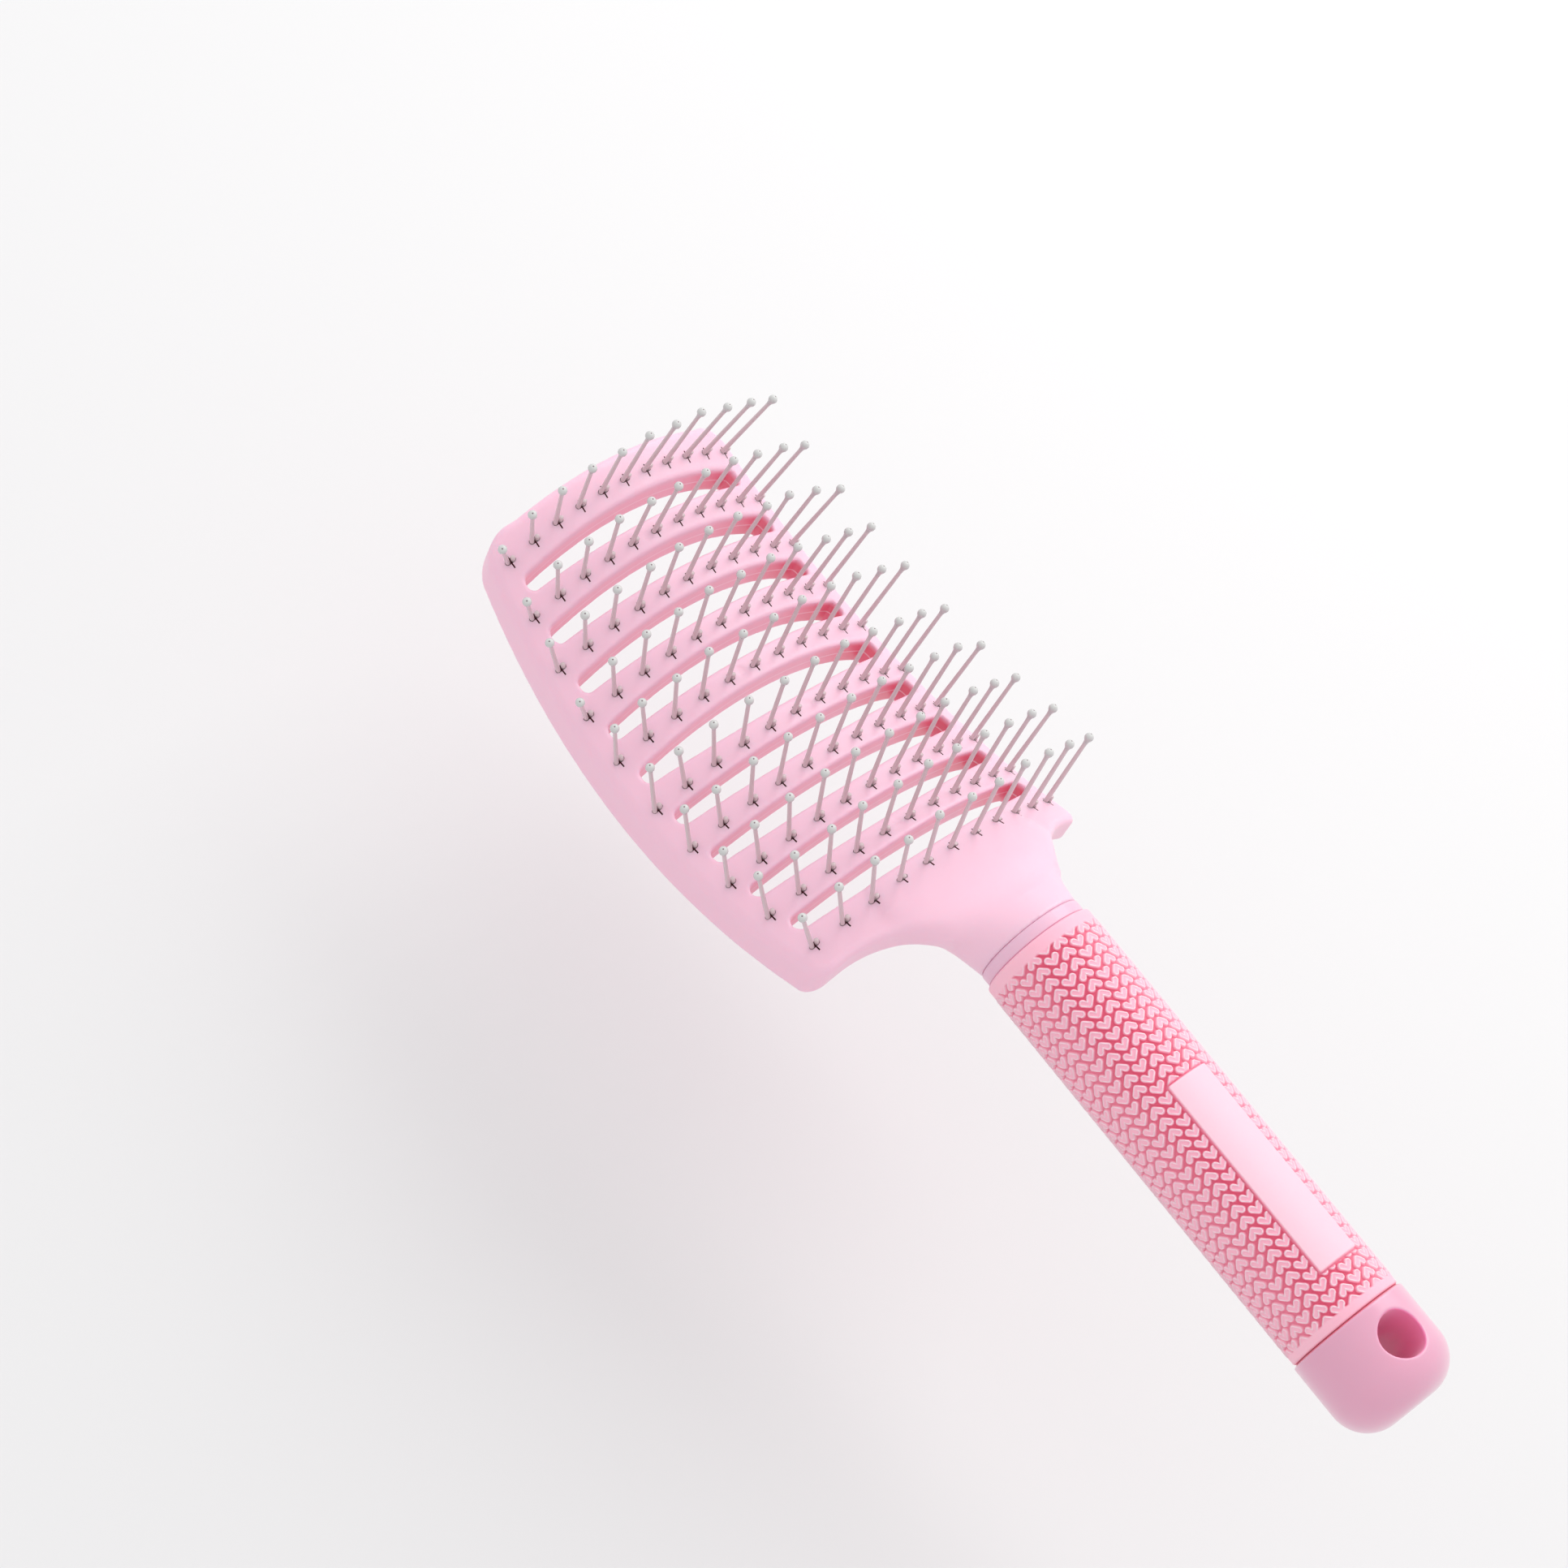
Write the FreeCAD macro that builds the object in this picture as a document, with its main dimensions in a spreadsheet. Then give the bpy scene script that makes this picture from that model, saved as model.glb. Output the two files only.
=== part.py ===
import FreeCAD, Part
import math
import os
import Sketcher

# Vented hairbrush. Millimetres. The frame's origin is the centre of the hanging hole in
# the end cap. +X runs along the handle to the head's tip, +Z is the side the pins are on.

V = FreeCAD.Vector
doc = FreeCAD.newDocument("vent_brush")
sheet = doc.addObject("Spreadsheet::Sheet", "sizes")

SIZES = {
    # head: an arched band swept round an axis above the pins
    "crown_x": 180.1, "crown_z": -13.0, "sweep_radius": 145.6, "arch_radius": 59.5,
    "arch_half": 40.0, "slab": 7.0, "sweep_angle": 55.0,
    # plan outline of the head
    "tip_x": 226.8, "tip_corner": 6.0, "tip_bow": 0.8, "side_half": 35.6, "side_x": 152.0,
    "side_arc": 520.0, "wing_x": 115.9, "wing_corner": 3.0, "waist_arc": 17.5,
    "waist_half": 11.6, "waist_from": 107.0,
    # ribs, and the vents between them
    "rib_half": 2.85, "tip_rib_half": 3.5, "vent_margin": 4.5, "vent_bow": 1.6,
    "vent_round": 1.1,
    "row_1": 221.4, "row_2": 210.0, "row_3": 198.8, "row_4": 187.8, "row_5": 176.9,
    "row_6": 164.3, "row_7": 153.5, "row_8": 142.8, "row_9": 132.5, "row_10": 121.9,
    # pins
    "row_half_tip": 27.8, "row_half_mid": 32.3, "row_half_neck": 31.0,
    "row_bow_tip": 1.3, "row_bow_neck": -0.45,
    "lean_tip": -4.8, "lean_mid": 4.8, "lean_neck": 8.2, "fan": 24.0,
    "pin_length": 16.8, "pin_ball": 1.76, "pin_foot": 0.98, "pin_top": 0.82, "pin_stub": 1.3,
    "socket_gap": 0.08, "socket_depth": 3.4,
    "anchor_width": 3.2, "anchor_gauge": 0.24, "anchor_height": 1.6,
    # neck: each elliptical section's place, half width, top and low point; then the tang
    "ring_x": 99.1, "neck_radius": 11.2,
    "waist_x": 105.0, "waist_wide": 13.6, "waist_top": 8.4, "waist_low": -10.2,
    "spread_x": 111.5, "spread_wide": 17.6, "spread_top": 4.6, "spread_low": -8.4,
    "root_x": 118.5, "root_wide": 17.0, "root_top": 0.5, "root_low": -6.6,
    "buried_x": 126.0, "buried_wide": 11.0, "buried_top": -3.1, "buried_low": -9.0,
    "tang_radius": 6.95, "tang_length": 44.0,
    # handle
    "collar_radius": 11.3, "collar_width": 2.6, "core_radius": 10.0, "core_bore": 7.0,
    "fit": 0.04, "sleeve_end": 7.75, "sleeve_radius": 12.2, "band_radius": 12.0, "band_neck": 2.7,
    "band_cap": 2.0, "plate_from": 17.0, "plate_to": 60.0, "plate_half": 5.1,
    "plate_radius": 12.35,
    # end cap
    "cap_face": 7.5, "cap_end": -11.2, "cap_radius": 12.4, "cap_corner": 7.8,
    "cap_lip": 0.5, "spigot_radius": 6.95, "spigot_length": 12.0, "hole_radius": 4.6,
}
ROWS = 10
PINS = 11

for line, (alias, number) in enumerate(SIZES.items(), start=1):
    sheet.set("A%d" % line, alias)
    sheet.set("B%d" % line, str(number))
    sheet.setAlias("B%d" % line, alias)
doc.recompute()


def size(alias):
    return float(sheet.get(alias))


# ------------------------------------------------------------------ helpers

def new_body(name):
    body = doc.addObject("PartDesign::Body", name)
    body.Label = name
    return body


def new_sketch(body, name, role, offset=None):
    """A sketch on one of the body's own origin planes, moved along its normal."""
    sketch = body.newObject("Sketcher::SketchObject", name)
    plane = [item for item in body.Origin.OriginFeatures if item.Role == role][0]
    sketch.AttachmentSupport = [(plane, "")]
    sketch.MapMode = "FlatFace"
    if offset:
        sketch.setExpression("AttachmentOffset.Base.z", offset)
    return sketch


def add_outline(sketch, curves):
    """Add a closed run of curves and tie each one's end to the next one's start."""
    first = sketch.GeometryCount
    for curve in curves:
        sketch.addGeometry(curve, False)
    used = set()
    for i in range(len(curves)):
        here, there = first + i, first + (i + 1) % len(curves)
        for a, b in ((2, 1), (1, 1), (2, 2), (1, 2)):
            gap = (sketch.getPoint(here, a) - sketch.getPoint(there, b)).Length
            if gap < 1e-6 and (here, a) not in used and (there, b) not in used:
                sketch.addConstraint(Sketcher.Constraint("Coincident", here, a, there, b))
                used.update([(here, a), (there, b)])
                break


def polygon(points):
    return [Part.LineSegment(points[i], points[(i + 1) % len(points)])
            for i in range(len(points))]


def add_circle(sketch, radius):
    """A circle on the sketch's origin, its radius driven by the sheet."""
    index = sketch.addGeometry(Part.Circle(V(0, 0, 0), V(0, 0, 1), size(radius)), False)
    sketch.addConstraint(Sketcher.Constraint("Coincident", index, 3, -1, 1))
    drive = sketch.addConstraint(Sketcher.Constraint("Radius", index, size(radius)))
    sketch.setExpression("Constraints[%d]" % drive, "sizes." + radius)


def revolve_profile(body, name, curves):
    """Turn a profile drawn in the XZ plane about the handle's axis."""
    sketch = new_sketch(body, name + "_profile", "XZ_Plane")
    add_outline(sketch, curves)
    turned = body.newObject("PartDesign::Revolution", name)
    turned.Profile = sketch
    turned.ReferenceAxis = (sketch, ["H_Axis"])
    turned.Angle = 360.0
    return turned


# ------------------------------------------------------------------ head shape

def side_half(x):
    """Half the head's width at x, in plan."""
    return size("side_half") - (x - size("side_x")) ** 2 / (2.0 * size("side_arc"))


def face_z(x, y):
    """Height of the head's pin face over the point (x, y)."""
    drop = size("arch_radius") - math.sqrt(size("arch_radius") ** 2 - y ** 2)
    reach = size("sweep_radius") + drop
    return (size("crown_z") + size("sweep_radius")
            - math.sqrt(reach ** 2 - (x - size("crown_x")) ** 2))


def head_outline():
    """The head's plan as curves, in coordinates measured from the crown."""
    corner, wing = size("tip_corner"), size("wing_corner")
    tip, bow, wing_x = size("tip_x"), size("tip_bow"), size("wing_x")
    waist, waist_x = size("waist_arc"), size("wing_x") - size("waist_arc")
    waist_y = size("waist_half") + waist
    start_y = waist_y - math.sqrt(waist ** 2 - (size("waist_from") - waist_x) ** 2)
    bend = math.sqrt(0.5)

    def half(sign):
        def at(x, y):
            return V(x - size("crown_x"), sign * y, 0)

        tip_y = side_half(tip - corner) - corner
        tip_end = at(tip - bow, tip_y)
        side_end = at(tip - corner, side_half(tip - corner))
        wing_end = at(wing_x + wing, side_half(wing_x + wing))
        wing_low = at(wing_x, side_half(wing_x + wing) - wing)
        waist_top = at(wing_x, waist_y)
        waist_end = at(size("waist_from"), start_y)
        mid_x = 0.5 * (tip - corner + wing_x + wing)
        return tip_end, [
            Part.Arc(tip_end, at(tip - bow * bend - corner * (1 - bend), tip_y + corner * bend),
                     side_end),
            Part.Arc(side_end, at(mid_x, side_half(mid_x)), wing_end),
            Part.Arc(wing_end, at(wing_x + wing * (1 - bend),
                                  side_half(wing_x + wing) - wing * (1 - bend)), wing_low),
            Part.LineSegment(wing_low, waist_top),
            Part.Arc(waist_top, at(waist_x + waist * bend, waist_y - waist * bend), waist_end),
        ], waist_end

    near, near_curves, near_end = half(1)
    far, far_curves, far_end = half(-1)
    across = Part.LineSegment(near_end, far_end)
    tip_edge = Part.Arc(far, V(tip - size("crown_x"), 0, 0), near)
    return near_curves + [across] + far_curves[::-1] + [tip_edge]


def vent_outline(number):
    """The vent between two neighbouring rows, in coordinates from the crown."""
    reach = size("tip_rib_half") if number == 1 else size("rib_half")
    tip_side = size("row_%d" % number) - reach - size("crown_x")
    neck_side = size("row_%d" % (number + 1)) + size("rib_half") - size("crown_x")
    tip_bow = size("vent_bow") if number <= ROWS // 2 else 0.0
    neck_bow = size("vent_bow") if number >= ROWS // 2 else 0.0
    middle = 0.5 * (tip_side + neck_side)
    end_y = side_half(middle + size("crown_x")) - size("vent_margin")
    shoulder = end_y - size("vent_round")
    tip_near, tip_far = V(tip_side - tip_bow, shoulder, 0), V(tip_side - tip_bow, -shoulder, 0)
    neck_near = V(neck_side + neck_bow, shoulder, 0)
    neck_far = V(neck_side + neck_bow, -shoulder, 0)
    tip_edge = (Part.Arc(tip_far, V(tip_side, 0, 0), tip_near) if tip_bow
                else Part.LineSegment(tip_far, tip_near))
    neck_edge = (Part.Arc(neck_near, V(neck_side, 0, 0), neck_far) if neck_bow
                 else Part.LineSegment(neck_near, neck_far))
    middle = 0.5 * (tip_near.x + neck_near.x)
    return [tip_edge, Part.Arc(tip_near, V(middle, end_y, 0), neck_near),
            neck_edge, Part.Arc(neck_far, V(middle, -end_y, 0), tip_far)]


def make_head():
    body = new_body("head_moulding")
    band = new_sketch(body, "band_section", "YZ_Plane")
    lower = size("arch_radius") - size("slab")
    tilt = math.asin(size("arch_half") / size("arch_radius"))

    def on_arch(radius, angle):
        return V(radius * math.sin(angle), radius * math.cos(angle) - size("arch_radius"), 0)

    upper = size("arch_radius")
    add_outline(band, [
        Part.Arc(on_arch(upper, -tilt), on_arch(upper, 0), on_arch(upper, tilt)),
        Part.LineSegment(on_arch(upper, tilt), on_arch(lower, tilt)),
        Part.Arc(on_arch(lower, tilt), on_arch(lower, 0), on_arch(lower, -tilt)),
        Part.LineSegment(on_arch(lower, -tilt), on_arch(upper, -tilt)),
    ])
    level = size("sweep_radius")
    axis = band.addGeometry(Part.LineSegment(V(-20, level, 0), V(20, level, 0)), True)
    band.addConstraint(Sketcher.Constraint("Horizontal", axis))
    drive = band.addConstraint(Sketcher.Constraint("DistanceY", -1, 1, axis, 1, level))
    band.setExpression("Constraints[%d]" % drive, "sizes.sweep_radius")
    sweep = body.newObject("PartDesign::Revolution", "band_sweep")
    sweep.Profile = band
    sweep.ReferenceAxis = (band, ["Axis0"])
    sweep.Midplane = True
    sweep.setExpression("Angle", "sizes.sweep_angle")
    doc.recompute()

    plan = new_sketch(body, "plan_trim", "XY_Plane")
    add_outline(plan, head_outline())
    margin = 120.0
    add_outline(plan, polygon([V(-margin, -margin, 0), V(margin, -margin, 0),
                               V(margin, margin, 0), V(-margin, margin, 0)]))
    trim = body.newObject("PartDesign::Pocket", "plan_cut")
    trim.Profile = plan
    trim.Midplane = True
    trim.Length = 2 * margin
    doc.recompute()

    openings = new_sketch(body, "vent_plan", "XY_Plane")
    for number in range(1, ROWS):
        add_outline(openings, vent_outline(number))
    vents = body.newObject("PartDesign::Pocket", "vents")
    vents.Profile = openings
    vents.Midplane = True
    vents.Length = 2 * margin
    doc.recompute()

    neck = body.newObject("PartDesign::AdditiveLoft", "neck")
    sections = []
    ring = size("neck_radius")
    shapes = [("ring", ring, ring, -ring)]
    for name in ("waist", "spread", "root", "buried"):
        shapes.append((name, size(name + "_wide"), size(name + "_top"), size(name + "_low")))
    for name, half_width, top, low in shapes:
        section = new_sketch(body, "neck_" + name, "YZ_Plane")
        offset = section.AttachmentOffset
        offset.Base = V(0, 0, size(name + "_x") - size("crown_x"))
        section.AttachmentOffset = offset
        middle = 0.5 * (top + low) - size("crown_z")
        half_height = min(0.5 * (top - low), half_width - 0.001)
        section.addGeometry(Part.Ellipse(V(half_width, middle, 0),
                                         V(0, middle + half_height, 0),
                                         V(0, middle, 0)), False)
        sections.append(section)
    neck.Profile = sections[0]
    neck.Sections = sections[1:]
    doc.recompute()

    tang_plan = new_sketch(body, "tang_plan", "YZ_Plane", "sizes.ring_x - sizes.crown_x")
    middle = tang_plan.addGeometry(
        Part.Circle(V(0, -size("crown_z"), 0), V(0, 0, 1), size("tang_radius")), False)
    drive = tang_plan.addConstraint(Sketcher.Constraint("Radius", middle, size("tang_radius")))
    tang_plan.setExpression("Constraints[%d]" % drive, "sizes.tang_radius")
    tang = body.newObject("PartDesign::Pad", "tang")
    tang.Profile = tang_plan
    tang.Reversed = True
    tang.setExpression("Length", "sizes.tang_length")
    body.setExpression("Placement.Base.x", "sizes.crown_x")
    body.setExpression("Placement.Base.z", "sizes.crown_z")
    doc.recompute()
    return body


# ------------------------------------------------------------------ pins

def along(first, middle, last, t):
    """A quadratic through three values at t = 0, 1/2 and 1."""
    return (first * (2 * t - 1) * (t - 1) + 4 * middle * t * (1 - t) + last * t * (2 * t - 1))


def pin_places(row):
    """Where each pin of a row leaves the face, and the turn from +Z to its direction."""
    t = (row - 1) / (ROWS - 1.0)
    half = along(size("row_half_tip"), size("row_half_mid"), size("row_half_neck"), t)
    bow = size("row_bow_tip") + (size("row_bow_neck") - size("row_bow_tip")) * t
    lean = along(size("lean_tip"), size("lean_mid"), size("lean_neck"), t)
    places = []
    for number in range(PINS):
        u = 2.0 * number / (PINS - 1) - 1.0
        x, y = size("row_%d" % row) - bow * u * u, half * u
        turn = (FreeCAD.Rotation(V(0, 1, 0), lean)
                * FreeCAD.Rotation(V(1, 0, 0), -size("fan") * u))
        places.append(FreeCAD.Placement(V(x, y, face_z(x, y)), turn))
    return places


def fold_sizes():
    """Radius of the filament, half the gap between its two legs, and where the bend is."""
    foot = size("pin_foot") / 2
    apart = foot + size("anchor_gauge") / 2 + 0.01
    return foot, apart, 0.25 + foot + apart - size("socket_depth")


def pin_shape():
    """One folded filament: the long balled leg, the bend in the socket and the stub."""
    top, ball = size("pin_top") / 2, size("pin_ball") / 2
    foot, apart, bend_z = fold_sizes()
    long_leg = Part.makeCone(foot, top, size("pin_length") - bend_z - ball * 0.9,
                             V(0, apart, bend_z))
    flare = Part.makeCone(top, ball * 0.72, ball * 0.9,
                          V(0, apart, size("pin_length") - ball * 1.55))
    tip = Part.makeSphere(ball, V(0, apart, size("pin_length")))
    stub = Part.makeCylinder(foot, size("pin_stub") - bend_z, V(0, -apart, bend_z))
    bend = Part.makeTorus(apart, foot, V(0, 0, bend_z), V(1, 0, 0))
    below = Part.makeBox(4, 4, 4, V(-2, -2, bend_z - 4))
    return long_leg.fuse([flare, tip, stub, bend.common(below)]).removeSplitter()


def anchor_shape():
    """The flat wire that is driven over the fold."""
    width, gauge = size("anchor_width"), size("anchor_gauge")
    return Part.makeBox(width, gauge, size("anchor_height"),
                        V(-width / 2, -gauge / 2, fold_sizes()[2]))


def socket_shape():
    """The long hole and the anchor slit that one pin needs, reaching past the face."""
    foot, apart, _ = fold_sizes()
    depth, half = size("socket_depth"), foot + size("socket_gap")
    width, gauge = size("anchor_width") + 0.02, size("anchor_gauge") + 0.02
    ends = [Part.makeCylinder(half, depth + 3, V(0, side * apart, -depth)) for side in (-1, 1)]
    middle = Part.makeBox(2 * half, 2 * apart, depth + 3, V(-half, -apart, -depth))
    slit = Part.makeBox(width, gauge, depth + 2.7, V(-width / 2, -gauge / 2, 0.3 - depth))
    return middle.fuse(ends + [slit]).removeSplitter()


def placed(shape, place):
    copy = shape.copy()
    copy.Placement = place
    return copy


def add_group(name, shapes):
    group = doc.addObject("Part::Feature", name)
    group.Label = name
    group.Shape = Part.makeCompound(shapes)
    return group


# ------------------------------------------------------------------ handle

def make_core():
    """The handle's stiff tube, with the collar that shows between neck and sleeve."""
    body = new_body("handle_core")
    bore, outer, collar = size("core_bore"), size("core_radius"), size("collar_radius")
    low, high = size("sleeve_end"), size("ring_x") - size("fit")
    step = high - size("collar_width")
    soft = 0.25
    revolve_profile(body, "tube", polygon([
        V(low, bore, 0), V(low, outer, 0), V(step, outer, 0), V(step, collar - soft, 0),
        V(step + soft, collar, 0), V(high - soft, collar, 0), V(high, collar - soft, 0),
        V(high, bore, 0)]))
    doc.recompute()
    return body


def make_sleeve():
    """The moulded grip: two smooth end bands, the textured zone and the blank plate."""
    body = new_body("grip_sleeve")
    fit = size("fit")
    low, high = size("sleeve_end"), size("ring_x") - size("collar_width") - 2 * fit
    inner, band, grip = size("core_radius") + fit, size("band_radius"), size("sleeve_radius")
    soft = 0.4
    revolve_profile(body, "grip", polygon([
        V(low, inner, 0), V(low, band - soft, 0), V(low + soft, band, 0),
        V(low + size("band_cap"), band, 0), V(low + size("band_cap") + 0.3, grip, 0),
        V(high - size("band_neck") - 0.3, grip, 0), V(high - size("band_neck"), band, 0),
        V(high - soft, band, 0), V(high, band - soft, 0), V(high, inner, 0)]))
    doc.recompute()
    plate = new_sketch(body, "plate_section", "YZ_Plane", "sizes.plate_from")
    angle = math.asin(size("plate_half") / size("plate_radius"))

    def on_grip(radius, turn):
        return V(radius * math.sin(turn), radius * math.cos(turn), 0)

    rise, root = size("plate_radius"), grip - 0.8
    add_outline(plate, [
        Part.Arc(on_grip(rise, -angle), on_grip(rise, 0), on_grip(rise, angle)),
        Part.LineSegment(on_grip(rise, angle), on_grip(root, angle)),
        Part.Arc(on_grip(root, angle), on_grip(root, 0), on_grip(root, -angle)),
        Part.LineSegment(on_grip(root, -angle), on_grip(rise, -angle)),
    ])
    pad = body.newObject("PartDesign::Pad", "plate")
    pad.Profile = plate
    pad.setExpression("Length", "sizes.plate_to - sizes.plate_from")
    doc.recompute()
    return body


def make_cap():
    """The end cap: rounded end, spigot into the tube and the hanging hole."""
    body = new_body("end_cap")
    face, end, outer = size("cap_face"), size("cap_end"), size("cap_radius")
    lip, corner, spigot = size("cap_lip"), size("cap_corner"), size("spigot_radius")
    reach = face + size("spigot_length")
    bend = math.sqrt(0.5)
    revolve_profile(body, "shell", [
        Part.LineSegment(V(reach, 0, 0), V(reach, spigot - lip, 0)),
        Part.LineSegment(V(reach, spigot - lip, 0), V(reach - lip, spigot, 0)),
        Part.LineSegment(V(reach - lip, spigot, 0), V(face, spigot, 0)),
        Part.LineSegment(V(face, spigot, 0), V(face, outer - lip, 0)),
        Part.Arc(V(face, outer - lip, 0),
                 V(face - lip * (1 - bend), outer - lip * (1 - bend), 0),
                 V(face - lip, outer, 0)),
        Part.LineSegment(V(face - lip, outer, 0), V(end + corner, outer, 0)),
        Part.Arc(V(end + corner, outer, 0),
                 V(end + corner * (1 - bend), outer - corner * (1 - bend), 0),
                 V(end, outer - corner, 0)),
        Part.LineSegment(V(end, outer - corner, 0), V(end, 0, 0)),
        Part.LineSegment(V(end, 0, 0), V(reach, 0, 0)),
    ])
    doc.recompute()
    ring = new_sketch(body, "hang_plan", "XY_Plane")
    add_circle(ring, "hole_radius")
    hole = body.newObject("PartDesign::Pocket", "hang_hole")
    hole.Profile = ring
    hole.Midplane = True
    hole.setExpression("Length", "4 * sizes.cap_radius")
    doc.recompute()
    return body


# ------------------------------------------------------------------ build and export

moulding = make_head()
pin, anchor, socket = pin_shape(), anchor_shape(), socket_shape()
nodes = []
sockets = []
for row in range(1, ROWS + 1):
    places = pin_places(row)
    nodes.append(add_group("pin_row_%02d" % row, [placed(pin, p) for p in places]))
    nodes.append(add_group("anchor_row_%02d" % row, [placed(anchor, p) for p in places]))
    sockets += [placed(socket, p) for p in places]

drilled = add_group("pin_sockets", sockets)
head = doc.addObject("Part::Cut", "head_body")
head.Label = "head_body"
head.Base = moulding
head.Tool = drilled
nodes += [head, make_core(), make_sleeve(), make_cap()]
doc.recompute()

for item in doc.Objects:
    if "Invalid" in item.State or "Error" in item.State:
        raise RuntimeError("%s did not compute: %s" % (item.Name, item.State))
os.makedirs("parts", exist_ok=True)
for node in nodes:
    if node.Shape.isNull() or not node.Shape.isValid():
        raise RuntimeError("%s has a bad shape" % node.Label)
    node.Shape.exportStep("parts/%s.step" % node.Label)
    print("%-16s solids %3d volume %10.2f" % (
        node.Label, len(node.Shape.Solids), node.Shape.Volume))
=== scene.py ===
import math

import bpy
import numpy as np
from mathutils import Matrix, Vector


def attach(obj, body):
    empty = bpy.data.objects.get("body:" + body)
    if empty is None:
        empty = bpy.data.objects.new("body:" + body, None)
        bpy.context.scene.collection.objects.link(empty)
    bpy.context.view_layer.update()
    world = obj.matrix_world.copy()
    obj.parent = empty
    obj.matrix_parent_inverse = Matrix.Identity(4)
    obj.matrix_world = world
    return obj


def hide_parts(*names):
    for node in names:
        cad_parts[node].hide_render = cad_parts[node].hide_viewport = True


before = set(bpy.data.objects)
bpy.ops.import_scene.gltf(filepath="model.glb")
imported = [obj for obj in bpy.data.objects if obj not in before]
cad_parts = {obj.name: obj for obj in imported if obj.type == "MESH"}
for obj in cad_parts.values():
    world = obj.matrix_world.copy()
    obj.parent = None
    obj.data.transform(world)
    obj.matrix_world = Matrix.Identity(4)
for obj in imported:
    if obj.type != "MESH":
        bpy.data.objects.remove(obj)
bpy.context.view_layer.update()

MM = 0.001
ROWS, PINS = 10, 11

# Head: an arched band swept round an axis above the pins. All lengths in millimetres.
CROWN_X, CROWN_Z, SWEEP, ARCH, SLAB = 180.1, -13.0, 145.6, 59.5, 7.0
TIP_X, TIP_CORNER, TIP_BOW = 226.8, 6.0, 0.8
SIDE_HALF, SIDE_X, SIDE_ARC = 35.6, 152.0, 520.0
WING_X, WING_CORNER, WAIST_ARC, WAIST_HALF, WAIST_FROM = 115.9, 3.0, 17.5, 11.6, 107.0
RIB_HALF, TIP_RIB_HALF, VENT_MARGIN, VENT_BOW, VENT_ROUND = 2.85, 3.5, 4.5, 1.6, 1.1
ROW_X = [221.4, 210.0, 198.8, 187.8, 176.9, 164.3, 153.5, 142.8, 132.5, 121.9]
RIM_ROUND, VENT_EDGE_ROUND, NECK_FILLET = 1.7, 0.8, 4.0
# The slab thins towards the neck, starting at THIN_FROM
THIN_FROM, THIN_RUN, THIN_BY = 114.0, 7.0, 2.6
RING_X, NECK_END = 99.1, 130.0
# The neck's sections: place along X, half width, top and bottom
NECK_AT = [RING_X - 6, RING_X, 105.0, 111.5, 118.5, 126.0, 134.0]
NECK_HALF = [11.2, 11.2, 13.2, 16.6, 18.0, 15.0, 8.0]
NECK_TOP = [11.2, 11.2, 8.7, 5.0, 0.9, -3.0, -8.0]
NECK_LOW = [-11.2, -11.2, -10.3, -8.7, -7.0, -9.0, -11.0]
TANG_R, TANG_LONG, TANG_CHAMFER = 6.9, 43.9, 0.5
# Round ejector marks on the face, as places in plan
MARKS = ((209.8, 2.2), (177.2, 3.4), (133.0, 2.7), (121.9, -3.2), (164.2, -3.2))
MARK_R, MARK_DEPTH = 1.05, 0.16
# Past PAINT_FROM, vent walls take their own colour within PAINT_NEAR of a vent's outline
PAINT_FROM, PAINT_NEAR, PAINT_FADE = 112.0, 0.6, 0.45
SHARP_ANGLE = 60

# Pins and their sockets
ROW_HALF = (27.8, 32.3, 31.0)
ROW_BOW = (1.3, -0.45)
LEAN = (-4.8, 4.8, 8.2)
FAN = 24.0
PIN_LENGTH, PIN_BALL, PIN_FOOT, PIN_TOP, PIN_STUB = 16.8, 0.93, 0.49, 0.41, 1.3
PIN_BURIED, PIN_NECK, PIN_SIDES, PIN_SWAY = 2.2, 2.2, 16, 0.8
# Extra tilt of each row's outermost +Y pin, which is a little bent, in degrees
BENT_LEAN = (-6, -6, 0, -8, -1, 4, 3, 0, 4, 0)
BENT_FAN = (3, 2, 0, 4, -6, -9, -7, -5, -4, 0)
SOCKET_HALF, SOCKET_DEPTH, SLIT_LONG, SLIT_WIDE = 0.57, 3.4, 3.22, 0.30
# Each leg's distance from the pin's centre, and how far the slit shows on its short side
LEG_OFFSET, SLIT_REACH = 0.62, 1.05
SOCKET_ABOVE = 3.0

# Handle
SLEEVE_FROM, SLEEVE_TO, SLEEVE_BORE = 7.75, 96.42, 10.04
VALLEY_R, GRIP_R, BAND_R, PLATE_R = 11.45, 12.15, 12.0, 12.33
BAND_NECK, BAND_CAP = 2.7, 2.0
PLATE_FROM, PLATE_TO, PLATE_HALF = 17.0, 60.0, 5.1
PLATE_ROUND, MOAT_FROM, MOAT_TO, LIP_ROUND = 0.5, 0.16, 0.32, 0.5
HEART_COLUMNS, HEART_PITCH = 24, 2.53
# Where along X one heart sits in the even columns and in the odd ones
HEART_DOWN_X, HEART_UP_X, HEART_DISH = 60.83, 57.85, 0.20
# A heart is two bars from its point to its lobes, which widen by HEART_GROW on the way
HEART_POINT, HEART_LOBE, HEART_WIDE, HEART_BAR, HEART_GROW = -0.50, 0.47, 0.90, 0.54, 0.12
HEART_EDGE, DISH_EDGE = (-0.10, 0.16), (0.19, 0.32)
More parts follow.
